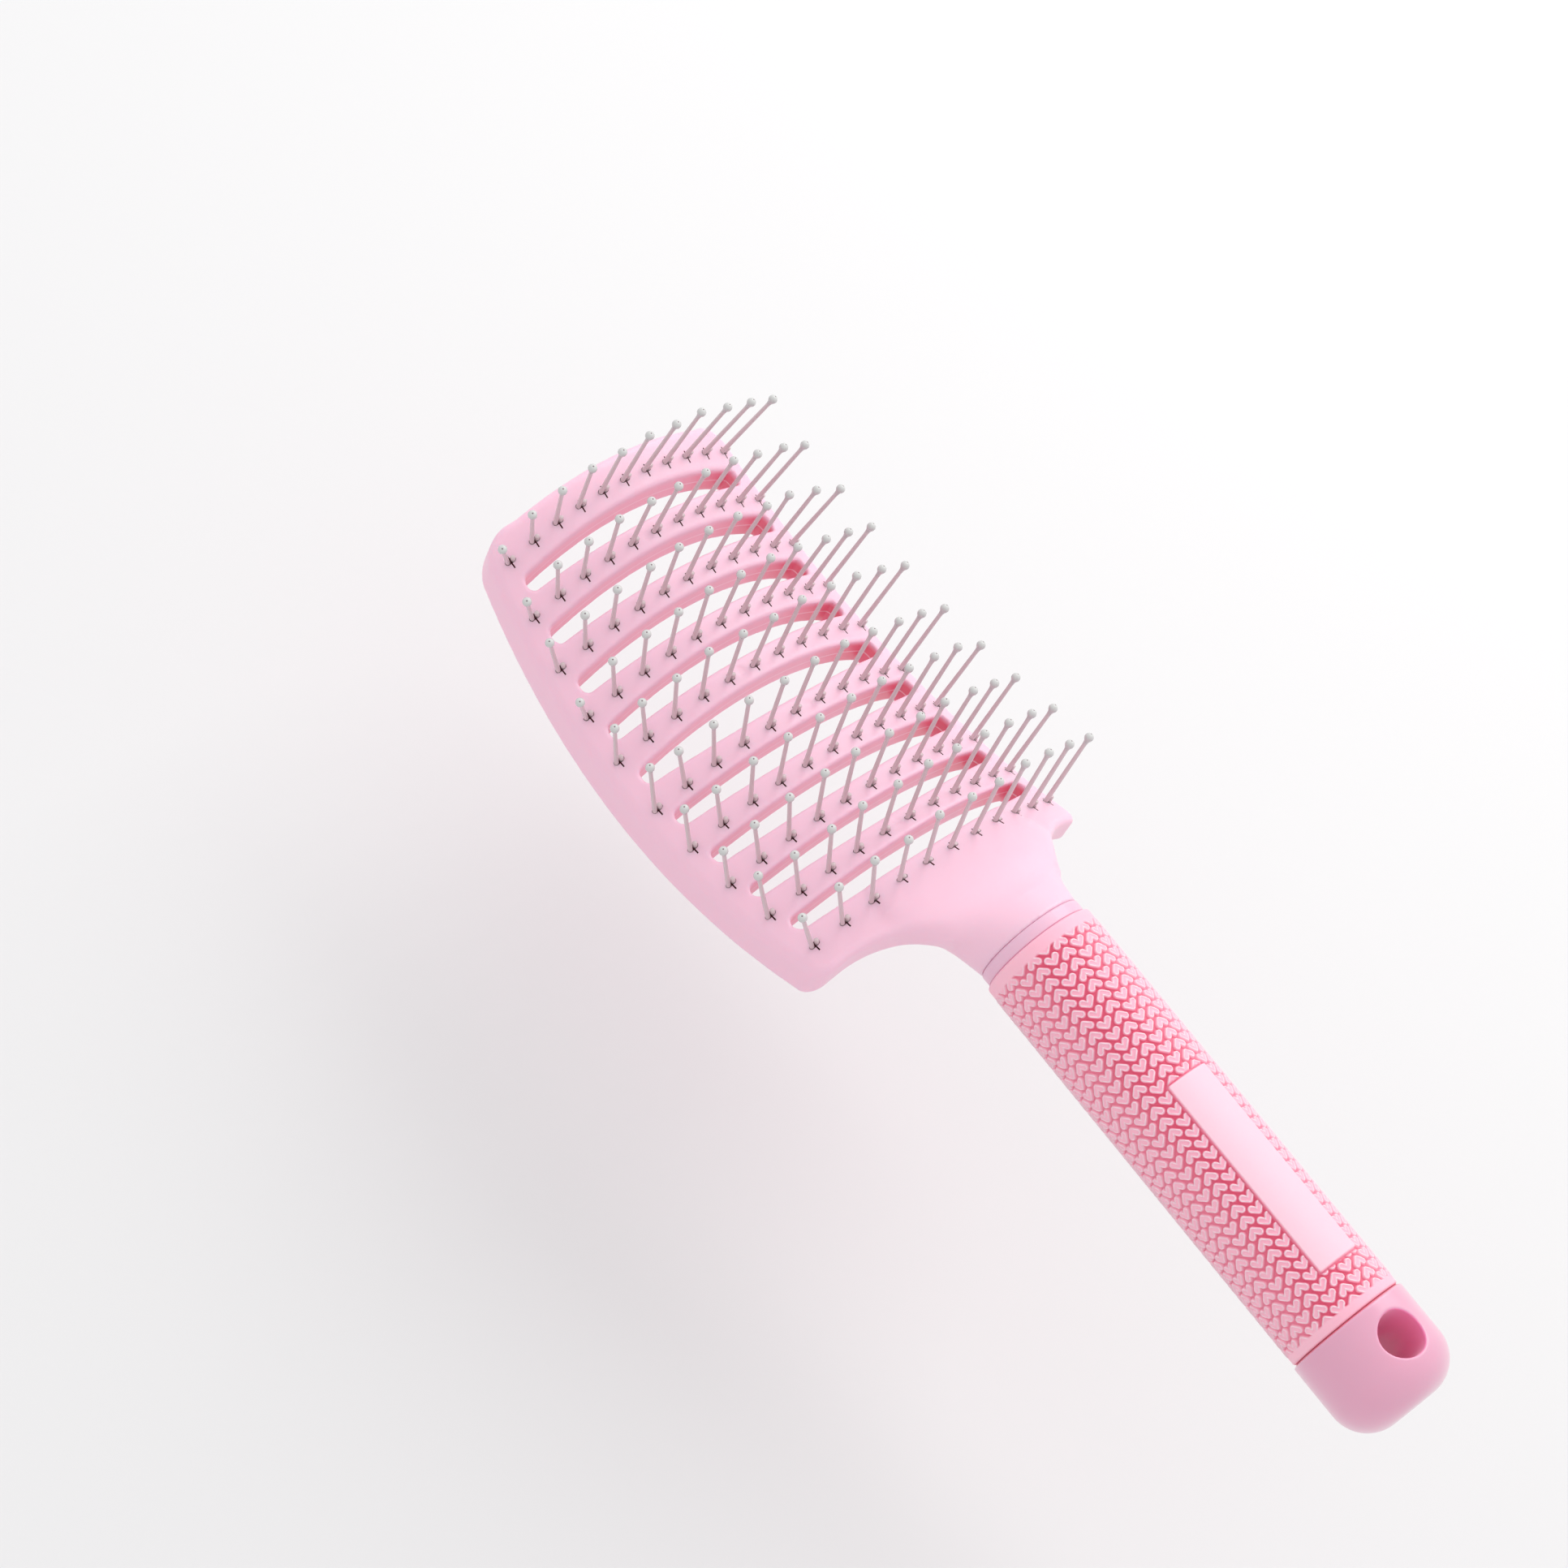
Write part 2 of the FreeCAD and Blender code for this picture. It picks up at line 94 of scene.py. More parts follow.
# How much the dish lowers the level that colours the grip, and the level of the smooth places; a lower
# level is painted in deeper shade, so the moat round the plate gets painted shade
DISH_LEVEL, MOAT_LEVEL, PLATE_LEVEL, BAND_LEVEL = 0.42, 0.25, 0.78, 0.66
CAP_FACE, CAP_END, CAP_R, CAP_CORNER, CAP_LIP = 7.5, -11.2, 12.4, 7.8, 0.5
SPIGOT_R, SPIGOT_LONG, SHOULDER_R, SHOULDER_LONG, ROOT_X = 6.95, 12.0, 11.8, 0.19, 5.0
HOLE_R, HOLE_ROUND = 4.6, 0.45

# Sampling steps of the head, the sleeve and the cap
HEAD_STEP, SLEEVE_STEP, CAP_STEP = 0.42, 0.18, 0.22


# ------------------------------------------------------------------ mesh helpers

def new_object(name, verts, faces, smooth=True):
    """A mesh object from vertices in millimetres."""
    mesh = bpy.data.meshes.new(name)
    verts = np.asarray(verts, float) * MM
    mesh.from_pydata(verts.tolist(), [], [list(map(int, f)) for f in faces])
    mesh.validate()
    obj = bpy.data.objects.new(name, mesh)
    bpy.context.scene.collection.objects.link(obj)
    if smooth:
        mesh.polygons.foreach_set("use_smooth", [True] * len(mesh.polygons))
    return obj


def add_value(obj, name, values, domain="POINT"):
    """Store one number per vertex, or per face, for the materials to read."""
    layer = obj.data.attributes.new(name, "FLOAT", domain)
    layer.data.foreach_set("value", np.asarray(values, np.float32))


def vertices(obj):
    """The object's vertices as an array in millimetres."""
    co = np.zeros(len(obj.data.vertices) * 3)
    obj.data.vertices.foreach_get("co", co)
    return co.reshape(-1, 3) / MM


def surface_net(field, low, step):
    """Mesh of the surface where the sampled field crosses zero (negative is inside)."""
    inside = field < 0
    shape = np.array(field.shape) - 1
    total = np.zeros(tuple(shape) + (3,), np.float32)
    count = np.zeros(tuple(shape), np.float32)
    corners = [(i, j, k) for i in (0, 1) for j in (0, 1) for k in (0, 1)]

    def block(array, corner):
        i, j, k = corner
        return array[i:i + shape[0], j:j + shape[1], k:k + shape[2]]

    for a in corners:
        for axis in range(3):
            if a[axis]:
                continue
            b = list(a)
            b[axis] = 1
            va, vb = block(field, a), block(field, b)
            cross = block(inside, a) != block(inside, b)
            span = np.where(cross, va - vb, 1.0)
            t = np.where(cross, va / span, 0.0)
            for d in range(3):
                total[..., d] += cross * (a[d] + (t if d == axis else 0.0))
            count += cross
    active = count > 0
    index = np.full(tuple(shape), -1, np.int64)
    index[active] = np.arange(active.sum())
    cells = np.argwhere(active)
    verts = (cells + total[active] / count[active][:, None]) * step + np.array(low)
    faces = []
    for axis in range(3):
        u, v = (axis + 1) % 3, (axis + 2) % 3
        first = [slice(None)] * 3
        second = [slice(None)] * 3
        first[axis], second[axis] = slice(0, -1), slice(1, None)
        change = inside[tuple(first)] != inside[tuple(second)]
        where = np.argwhere(change)
        keep = ((where[:, u] > 0) & (where[:, v] > 0)
                & (where[:, u] < shape[u]) & (where[:, v] < shape[v]))
        where = where[keep]
        starts_inside = inside[tuple(first)][tuple(where.T)]
        ring = []
        for du, dv in ((-1, -1), (0, -1), (0, 0), (-1, 0)):
            cell = where.copy()
            cell[:, u] += du
            cell[:, v] += dv
            ring.append(index[tuple(cell.T)])
        quads = np.stack(ring, 1)
        quads[~starts_inside] = quads[~starts_inside][:, ::-1]
        faces.append(quads)
    return verts, np.concatenate(faces)


def sample_grid(low, high, step):
    """Coordinates of a regular grid as three arrays that broadcast together."""
    x, y, z = [np.arange(l, h + step, step, dtype=np.float32) for l, h in zip(low, high)]
    return x[:, None, None], y[None, :, None], z[None, None, :]


def rounded_meet(a, b, radius):
    """Distance to where two solids overlap, with their shared edge rounded."""
    pa, pb = a + radius, b + radius
    return (np.minimum(np.maximum(pa, pb), 0.0)
            + np.sqrt(np.maximum(pa, 0.0) ** 2 + np.maximum(pb, 0.0) ** 2) - radius)


def smooth_join(a, b, radius):
    """Distance to either of two solids, with a fillet between them."""
    h = np.clip(0.5 + 0.5 * (b - a) / radius, 0.0, 1.0)
    return b + (a - b) * h - radius * h * (1.0 - h)


def polygon_distance(points, x, y):
    """Signed distance in plan from a closed polygon, negative inside."""
    px, py = np.broadcast_arrays(x, y)
    best = np.full(px.shape, 1e9)
    inside = np.zeros(px.shape, bool)
    for (ax, ay), (bx, by) in zip(points, points[1:] + points[:1]):
        ex, ey = bx - ax, by - ay
        t = np.clip(((px - ax) * ex + (py - ay) * ey) / (ex * ex + ey * ey), 0, 1)
        best = np.minimum(best, (px - ax - t * ex) ** 2 + (py - ay - t * ey) ** 2)
        if ay != by:
            cross = (ay > py) != (by > py)
            inside ^= cross & (px < (bx - ax) * (py - ay) / (by - ay) + ax)
    return np.where(inside, -1.0, 1.0) * np.sqrt(best)


def cut(obj, tool):
    """Take the tool's volume out of the object and delete the tool."""
    change = obj.modifiers.new("cut", "BOOLEAN")
    change.operation = "DIFFERENCE"
    change.solver = "MANIFOLD"
    change.object = tool
    bpy.context.view_layer.objects.active = obj
    bpy.ops.object.modifier_apply(modifier=change.name)
    bpy.data.objects.remove(tool)


def lathe(profile, sides):
    """Verts and faces of a closed profile of (z, radius) points turned about Z."""
    angles = np.linspace(0, 2 * math.pi, sides, endpoint=False)
    verts = [(r * math.cos(a), r * math.sin(a), z) for z, r in profile for a in angles]
    faces = []
    for i in range(len(profile) - 1):
        for j in range(sides):
            k = (j + 1) % sides
            faces.append((i * sides + j, i * sides + k, (i + 1) * sides + k, (i + 1) * sides + j))
    faces.append(tuple(range(sides))[::-1])
    faces.append(tuple((len(profile) - 1) * sides + j for j in range(sides)))
    return verts, faces


def prism(outline, low, high):
    """Verts and faces of an outline drawn in XY, carried from one height to another."""
    count = len(outline)
    verts = [(x, y, z) for z in (low, high) for x, y in outline]
    faces = [(i, (i + 1) % count, count + (i + 1) % count, count + i) for i in range(count)]
    return verts, faces + [tuple(range(count))[::-1], tuple(range(count, 2 * count))]


def gather(parts):
    """Join lists of (verts, faces) into one pair."""
    verts, faces = [], []
    for v, f in parts:
        base = len(verts)
        verts += [tuple(p) for p in v]
        faces += [tuple(i + base for i in face) for face in f]
    return verts, faces


def moved(part, matrix):
    """A (verts, faces) pair put through a matrix."""
    verts, faces = part
    return [tuple(matrix @ Vector(v)) for v in verts], faces


# ------------------------------------------------------------------ head

def side_half(x):
    """The head's half width at a place along X."""
    return SIDE_HALF - (x - SIDE_X) ** 2 / (2 * SIDE_ARC)


def arch_radius(x, y, z):
    """Radius of a point from the arch's centre line, which bends round the sweep axis."""
    rho = np.sqrt((x - CROWN_X) ** 2 + (z - CROWN_Z - SWEEP) ** 2)
    return np.sqrt(y ** 2 + (rho - SWEEP - ARCH) ** 2)


def face_z(x, y):
    """Height of the pin side's face."""
    reach = SWEEP + ARCH - math.sqrt(ARCH ** 2 - y ** 2)
    return CROWN_Z + SWEEP - math.sqrt(reach ** 2 - (x - CROWN_X) ** 2)


def arc_points(cx, cy, radius, start, stop, count):
    """Points along an arc between two angles in degrees."""
    return [(cx + radius * math.cos(math.radians(a)), cy + radius * math.sin(math.radians(a)))
            for a in np.linspace(start, stop, count)]


def head_plan():
    """The head's plan outline, from the tip round the +Y side to the neck and back."""
    tip_y = side_half(TIP_X - TIP_CORNER) - TIP_CORNER
    half = [(TIP_X - TIP_BOW * (i / 12.0) ** 2, tip_y * i / 12.0) for i in range(12)]
    half += arc_points(TIP_X - TIP_CORNER - TIP_BOW * 0.5, tip_y, TIP_CORNER, 2, 88, 14)
    first, last = TIP_X - TIP_CORNER - 1.0, WING_X + WING_CORNER
    half += [(x, side_half(x)) for x in np.linspace(first, last, 40)]
    wing_y = side_half(WING_X + WING_CORNER) - WING_CORNER
    half += arc_points(WING_X + WING_CORNER, wing_y, WING_CORNER, 95, 180, 10)
    waist_x, waist_y = WING_X - WAIST_ARC, WAIST_HALF + WAIST_ARC
    stop = -math.degrees(math.acos((WAIST_FROM - waist_x) / WAIST_ARC))
    half += arc_points(waist_x, waist_y, WAIST_ARC, 0, stop, 24)
    return half + [(x, -y) for x, y in half[:0:-1]]


def vent_plan(number):
    """One vent's plan outline; vents are numbered from the tip."""
    reach = TIP_RIB_HALF if number == 0 else RIB_HALF
    tip_side, neck_side = ROW_X[number] - reach, ROW_X[number + 1] + RIB_HALF
    tip_bow = VENT_BOW if number <= 4 else 0.0
    neck_bow = VENT_BOW if number >= 4 else 0.0
    end_y = side_half(0.5 * (tip_side + neck_side)) - VENT_MARGIN
    shoulder = end_y - VENT_ROUND
    ys = np.linspace(-shoulder, shoulder, 25)
    tip_edge = [(tip_side - tip_bow * (y / shoulder) ** 2, y) for y in ys]
    neck_edge = [(neck_side + neck_bow * (y / shoulder) ** 2, y) for y in ys[::-1]]
    a, b = tip_edge[-1][0], neck_edge[0][0]
    cap = [(0.5 * (a + b) + 0.5 * (a - b) * math.cos(t), shoulder + VENT_ROUND * math.sin(t))
           for t in np.linspace(0, math.pi, 11)[1:-1]]
    return tip_edge + cap + neck_edge + [(x, -y) for x, y in cap[::-1]]


def neck_distance(x, y, z):
    """The neck: elliptical sections that open out from the ring into the head."""
    half = np.interp(x, NECK_AT, NECK_HALF)
    top = np.interp(x, NECK_AT, NECK_TOP)
    low = np.interp(x, NECK_AT, NECK_LOW)
    middle, rise = 0.5 * (top + low), 0.5 * (top - low)
    u, w = y / half, (z - middle) / rise
    k0 = np.sqrt(u ** 2 + w ** 2)
    k1 = np.sqrt((u / half) ** 2 + (w / rise) ** 2) + 1e-6
    return np.maximum(k0 * (k0 - 1.0) / k1, np.maximum(RING_X - x, x - NECK_END))


def pin_frames(row):
    """Placement of each pin of a row: origin on the face, +Z along the pin."""
    t = row / (ROWS - 1.0)

    def along(first, middle, last):
        return (first * (2 * t - 1) * (t - 1) + 4 * middle * t * (1 - t)
                + last * t * (2 * t - 1))

    half, lean = along(*ROW_HALF), along(*LEAN)
    bow = ROW_BOW[0] + (ROW_BOW[1] - ROW_BOW[0]) * t
    frames = []
    for number in range(PINS):
        u = 2.0 * number / (PINS - 1) - 1.0
        x, y = ROW_X[row] - bow * u * u, half * u
        turn = (Matrix.Rotation(math.radians(lean), 4, "Y")
                @ Matrix.Rotation(math.radians(-FAN * u), 4, "X"))
        frames.append(Matrix.Translation((x, y, face_z(x, y))) @ turn)
    return frames


def socket_plan():
    """Outline of a pin's hole: a long hole round both legs, with the anchor's slit across."""
    side = [(SOCKET_HALF, -SLIT_WIDE / 2), (SLIT_LONG / 2, -SLIT_WIDE / 2),
            (SLIT_LONG / 2, SLIT_WIDE / 2), (SOCKET_HALF, SLIT_WIDE / 2)]
    side += arc_points(0.0, LEG_OFFSET, SOCKET_HALF, 0, 180, 12)
    return [(min(x, SLIT_REACH), y) for x, y in side + [(-x, -y) for x, y in side]]


def vent_distance(x, y):
    """Signed distance in plan from the nearest vent, negative inside it."""
    return np.min([polygon_distance(vent_plan(n), x, y) for n in range(ROWS - 1)], axis=0)


def head_field(x, y, z):
    """Distance to the head with its vents, neck and marks, but without the pins' sockets."""
    radius = arch_radius(x, y, z)
    slab = np.abs(radius - (ARCH - SLAB / 2)) - SLAB / 2
    thin = np.clip((THIN_FROM - x) / THIN_RUN, 0.0, 1.0)
    slab = slab + THIN_BY * thin * thin
    plan = polygon_distance(head_plan(), x[:, :, 0], y[:, :, 0])[:, :, None]
    for mark_x, mark_y in MARKS:
        mark = np.maximum(np.hypot(x - mark_x, y - mark_y) - MARK_R, ARCH - radius - MARK_DEPTH)
        slab = np.maximum(slab, -mark)
    body = rounded_meet(slab, plan, RIM_ROUND)
    body = smooth_join(body, neck_distance(x, y, z), NECK_FILLET)
    vents = vent_distance(x[:, :, 0], y[:, :, 0])[:, :, None]
    body = rounded_meet(body, -vents, VENT_EDGE_ROUND)
    return np.maximum(body, RING_X - x)


def make_tang():
    """The round tang, from its far end inside the handle to the ring."""
    profile = [(0.0, TANG_R - TANG_CHAMFER), (TANG_CHAMFER, TANG_R), (TANG_LONG, TANG_R)]
    place = (Matrix.Translation((RING_X - TANG_LONG, 0, 0))
             @ Matrix.Rotation(math.radians(90), 4, "Y"))
    return new_object("tang_part", *moved(lathe(profile, 48), place))


def socket_depths(co, depth):
    """1 at each vertex of a socket that lies below the face, 0 elsewhere."""
    sunk = np.zeros(len(co))
    for row in range(ROWS):
        for m in pin_frames(row):
            local = (co - np.array(m.translation)) @ np.array(m.to_3x3())
            near = ((np.abs(local[:, 0]) < SLIT_LONG / 2 + 0.01)
                    & (np.abs(local[:, 1]) < LEG_OFFSET + SOCKET_HALF + 0.01)
                    & (SLAB * depth > 0.3) & (local[:, 2] > -SOCKET_DEPTH - 0.1))
            sunk[near] = 1.0
    return sunk


def highest_per_face(mesh, values):
    """The largest of the vertex values round each face."""
    corner = np.zeros(len(mesh.loops), np.int32)
    mesh.loops.foreach_get("vertex_index", corner)
    start = np.zeros(len(mesh.polygons), np.int32)
    mesh.polygons.foreach_get("loop_start", start)
    return np.maximum.reduceat(values[corner], start)


def make_head(step):
    """The head moulding with its pins' sockets and its tang."""
    low, high = (RING_X - 2 * step, -38.0, -35.0), (TIP_X + 1.0, 38.0, 13.0)
    body = head_field(*sample_grid(low, high, step))
    head = new_object("head_shell", *surface_net(body.astype(np.float32), low, step))

    socket = prism(socket_plan(), -SOCKET_DEPTH, SOCKET_ABOVE)
    holes = [moved(socket, m) for row in range(ROWS) for m in pin_frames(row)]
    cut(head, new_object("socket_tool", *gather(holes)))

    tang = make_tang()
    bpy.ops.object.select_all(action="DESELECT")
    tang.select_set(True)
    head.select_set(True)
    bpy.context.view_layer.objects.active = head
    bpy.ops.object.join()
    head.data.polygons.foreach_set("use_smooth", [True] * len(head.data.polygons))
    head.data.set_sharp_from_angle(angle=math.radians(SHARP_ANGLE))

    co = vertices(head)
    depth = (ARCH - arch_radius(co[:, 0], co[:, 1], co[:, 2])) / SLAB
    add_value(head, "depth", np.where(co[:, 0] > PAINT_FROM, depth, 0.0))
    off = vent_distance(co[:, 0], co[:, 1])
    add_value(head, "slot", np.clip((PAINT_NEAR - np.abs(off)) / PAINT_FADE, 0.0, 1.0))
    add_value(head, "sunk", highest_per_face(head.data, socket_depths(co, depth)), "FACE")
    return head


# ------------------------------------------------------------------ pins

def pin_profile():
    """Radius along the long leg, from inside its socket to the top of the ball."""
    neck = PIN_LENGTH - PIN_NECK
    profile = [(-PIN_BURIED, PIN_FOOT), (0.0, PIN_FOOT), (neck * 0.5, 0.5 * (PIN_FOOT + PIN_TOP)),
               (neck, PIN_TOP), (neck + 0.8, PIN_TOP + 0.04), (neck + 1.25, PIN_TOP + 0.12)]
    for angle in np.linspace(-42, 78, 11):
        a = math.radians(angle)
        profile.append((PIN_LENGTH + PIN_BALL * math.sin(a), PIN_BALL * math.cos(a)))
    return profile + [(PIN_LENGTH + PIN_BALL - 0.10, 0.10)]


def make_pins(row, rng):
    """One row of pins; each pin sways a little at random, and the +Y one is bent."""
    leg = lathe(pin_profile(), PIN_SIDES)
    stub = lathe([(-PIN_BURIED, PIN_FOOT), (PIN_STUB - 0.12, PIN_FOOT),
                  (PIN_STUB, PIN_FOOT - 0.12)], PIN_SIDES)
    parts, height = [], []
    for number, m in enumerate(pin_frames(row)):
        bent = number == PINS - 1
        fan = rng.normal(0, PIN_SWAY) - bent * BENT_FAN[row]
        lean = rng.normal(0, PIN_SWAY) + bent * BENT_LEAN[row]
        sway = (Matrix.Rotation(math.radians(lean), 4, "Y")
                @ Matrix.Rotation(math.radians(fan), 4, "X"))
        parts += [moved(leg, m @ Matrix.Translation((0, LEG_OFFSET, 0)) @ sway),
                  moved(stub, m @ Matrix.Translation((0, -LEG_OFFSET, 0)))]
        height += [0.6 * v[2] / PIN_LENGTH for v in leg[0][:-PIN_SIDES]] + [1.0] * PIN_SIDES
        height += [0.0] * len(stub[0])
    pins = new_object("pins_%02d" % (row + 1), *gather(parts))
    add_value(pins, "height", height)
    return pins


# ------------------------------------------------------------------ grip sleeve

def heart_distance(u, v):
    """Distance from a heart whose point is towards -u, in millimetres."""
    best = None
    for side in (-1.0, 1.0):
        ax, ay, bx, by = HEART_POINT, 0.0, HEART_LOBE, HEART_WIDE * side
        ex, ey = bx - ax, by - ay
        t = np.clip(((u - ax) * ex + (v - ay) * ey) / (ex * ex + ey * ey), 0, 1)
        d = np.hypot(u - ax - t * ex, v - ay - t * ey) - (HEART_BAR + HEART_GROW * t)
        best = d if best is None else np.minimum(best, d)
    return best


def step_between(low, high, value):
    """0 below low and 1 above high, with a smooth rise between them."""
    t = np.clip((value - low) / (high - low), 0, 1)
    return t * t * (3 - 2 * t)


def sleeve_surface(x, angle):
    """Radius of the grip's outside, and each point's level: 0 in a valley, 1 on a rim."""
    nearest = np.full(x.shape, 9.0)
    pitch = 360.0 / HEART_COLUMNS
    column = np.round(angle / pitch)
    for shift in (-1, 0, 1):
        c = column + shift
        v = np.radians(angle - c * pitch) * GRIP_R
        down = (c % 2) == 0
        along = np.where(down, x - HEART_DOWN_X, HEART_UP_X - x)
        u = (along + HEART_PITCH / 2) % HEART_PITCH - HEART_PITCH / 2
        for slide in (-HEART_PITCH, 0.0, HEART_PITCH):
            nearest = np.minimum(nearest, heart_distance(u + slide, v))
    raised = 1.0 - step_between(*HEART_EDGE, nearest)
    dish = step_between(*DISH_EDGE, -nearest)
    radius = VALLEY_R + (GRIP_R - VALLEY_R) * raised - HEART_DISH * dish
    level = raised - DISH_LEVEL * dish

    arc = np.radians((angle + 180.0) % 360.0 - 180.0) * PLATE_R
    mid, half = 0.5 * (PLATE_FROM + PLATE_TO), 0.5 * (PLATE_TO - PLATE_FROM)
    dx, dy = np.abs(x - mid) - half + PLATE_ROUND, np.abs(arc) - PLATE_HALF + PLATE_ROUND
    plate = (np.minimum(np.maximum(dx, dy), 0)
             + np.hypot(np.maximum(dx, 0), np.maximum(dy, 0)) - PLATE_ROUND)
    moat = 1.0 - step_between(MOAT_FROM, MOAT_TO, plate)
    radius = radius + (VALLEY_R - radius) * moat
    level = level + (MOAT_LEVEL - level) * moat
    on_plate = 1.0 - step_between(-0.22, 0.0, plate)
    radius = radius + (PLATE_R - radius) * on_plate
    level = level + (PLATE_LEVEL - level) * on_plate

    for edge, side in ((SLEEVE_TO - BAND_NECK, 1), (SLEEVE_FROM + BAND_CAP, -1)):
        band = step_between(-0.08, 0.08, side * (x - edge))
        radius = radius + (BAND_R - radius) * band
        level = level + (BAND_LEVEL - level) * band
    for edge, side in ((SLEEVE_TO, 1), (SLEEVE_FROM, -1)):
        lip = np.clip(LIP_ROUND + side * (x - edge), 0, LIP_ROUND)
        radius = radius - (LIP_ROUND - np.sqrt(np.maximum(LIP_ROUND ** 2 - lip ** 2, 0)))
    return radius, level


def make_sleeve(step):
    """The rubber sleeve as a grid of rings, closed through its bore."""
    count = int(round((SLEEVE_TO - SLEEVE_FROM) / step))
    around = int(round(2 * math.pi * GRIP_R / step / HEART_COLUMNS)) * HEART_COLUMNS
    xs = np.linspace(SLEEVE_FROM, SLEEVE_TO, count)
    angles = np.linspace(0, 360, around, endpoint=False)
    gx, ga = np.meshgrid(xs, angles, indexing="ij")
    radius, level = sleeve_surface(gx, ga)
    rings_x = np.concatenate([[xs[0]], xs, [xs[-1]]])
    bore = np.full((1, around), SLEEVE_BORE)
    rings_r = np.concatenate([bore, radius, bore])
    # The ends and the bore take the deepest valley colour, which is painted shade
    end_level = np.full((1, around), -0.5)
    rings_v = np.concatenate([end_level, level, end_level])
    rad = np.radians(angles)
    verts = np.stack([np.repeat(rings_x[:, None], around, 1), rings_r * np.sin(rad),
                      rings_r * np.cos(rad)], -1).reshape(-1, 3)
    i = np.arange(len(rings_x) - 1)[:, None] * around
    j = np.arange(around)[None]
    k = (j + 1) % around
    faces = np.stack([i + j, i + k, i + around + k, i + around + j], -1).reshape(-1, 4)
    end = (len(rings_x) - 1) * around
    bore_faces = np.stack([end + j, end + k, k, j], -1).reshape(-1, 4)
    sleeve = new_object("heart_grip", verts, np.concatenate([faces, bore_faces]))
    add_value(sleeve, "level", rings_v.reshape(-1))
    sleeve.data.update()
    return sleeve


# ------------------------------------------------------------------ end cap

def make_cap(step):
    """The end cap with its hole, and the shoulder and spigot that go into the handle."""
    low, high = (CAP_END - 2 * step, -13.0, -13.0), (CAP_FACE + SPIGOT_LONG + 1.0, 13.0, 13.0)
    x, y, z = sample_grid(low, high, step)
    r = np.sqrt(y ** 2 + z ** 2)
    middle, half = 0.5 * (CAP_END + CAP_FACE), 0.5 * (CAP_FACE - CAP_END)
    corner = np.where(x < middle, CAP_CORNER, CAP_LIP)
    dx, dr = np.abs(x - middle) - half + corner, r - CAP_R + corner
    shell = (np.minimum(np.maximum(dx, dr), 0)
             + np.sqrt(np.maximum(dx, 0) ** 2 + np.maximum(dr, 0) ** 2) - corner)
    hole = HOLE_R - np.sqrt(x ** 2 + y ** 2)
    shell = rounded_meet(shell, hole, HOLE_ROUND)
    spigot = np.maximum(r - SPIGOT_R, np.maximum(ROOT_X - x, x - CAP_FACE - SPIGOT_LONG))
    shoulder = np.maximum(r - SHOULDER_R, np.maximum(ROOT_X - x, x - CAP_FACE - SHOULDER_LONG))
    body = np.minimum(np.minimum(shell, spigot), shoulder)
    return new_object("cap_shell", *surface_net(body.astype(np.float32), low, step))


# ------------------------------------------------------------------ materials

def new_material(name):
    """A new material with its node tree and its shader node."""
    material = bpy.data.materials.new(name)
    material.use_nodes = True
    tree = material.node_tree
    shader = [n for n in tree.nodes if n.type == "BSDF_PRINCIPLED"][0]
    return material, tree, shader


def linear(r, g, b):
    """Linear colour from 8-bit sRGB values."""
    return tuple((c / 255.0 / 12.92 if c / 255.0 <= 0.04045
                  else ((c / 255.0 + 0.055) / 1.055) ** 2.4) for c in (r, g, b)) + (1.0,)


def noise_bump(tree, shader, scale, strength, distance):
    """Fine grain of a moulded surface, in object space."""
    coords = tree.nodes.new("ShaderNodeTexCoord")
    noise = tree.nodes.new("ShaderNodeTexNoise")
    noise.inputs["Scale"].default_value = scale
    noise.inputs["Detail"].default_value = 3.0
    bump = tree.nodes.new("ShaderNodeBump")
    bump.inputs["Strength"].default_value = strength
    bump.inputs["Distance"].default_value = distance
    tree.links.new(coords.outputs["Object"], noise.inputs["Vector"])
    tree.links.new(noise.outputs["Fac"], bump.inputs["Height"])
    tree.links.new(bump.outputs["Normal"], shader.inputs["Normal"])


def ramp(tree, source, stops):
    """Colour ramp driven by a socket; stops are (position, colour)."""
    node = tree.nodes.new("ShaderNodeValToRGB")
    elements = node.color_ramp.elements
    elements[0].position, elements[0].color = stops[0]
    elements[1].position, elements[1].color = stops[-1]
    for position, colour in stops[1:-1]:
        element = elements.new(position)
        element.color = colour
    tree.links.new(source, node.inputs["Fac"])
    return node.outputs["Color"]


def read_value(tree, name):
    """Socket that reads a number stored on the mesh."""
    node = tree.nodes.new("ShaderNodeAttribute")
    node.attribute_name = name
    return node.outputs["Fac"]


def mix(tree, factor, first, second):
    """Mix two colour sockets or constants by a factor socket."""
    node = tree.nodes.new("ShaderNodeMix")
    node.data_type = "RGBA"
    tree.links.new(factor, node.inputs[0])
    for socket, value in ((node.inputs[6], first), (node.inputs[7], second)):
        if isinstance(value, tuple):
            socket.default_value = value
        else:
            tree.links.new(value, socket)
    return node.outputs[2]


def plastic(name, colour, roughness, weight, radius=(1.0, 0.35, 0.45), reach=0.004):
    """A moulded plastic that lets a little light under its skin."""
    material, tree, shader = new_material(name)
    shader.inputs["Base Color"].default_value = colour
    shader.inputs["Roughness"].default_value = roughness
    shader.inputs["Subsurface Weight"].default_value = weight
    shader.inputs["Subsurface Radius"].default_value = radius
    shader.inputs["Subsurface Scale"].default_value = reach
    return material, tree, shader


# The dark red third colour is painted shade inside the pins' sockets.
# The paler second colour is a painted highlight along the vent walls' parting line.
HEAD_PINK, PARTING_HIGHLIGHT, SOCKET_SHADE_RED = linear(241, 195, 215), linear(254, 214, 228), linear(110, 24, 42)
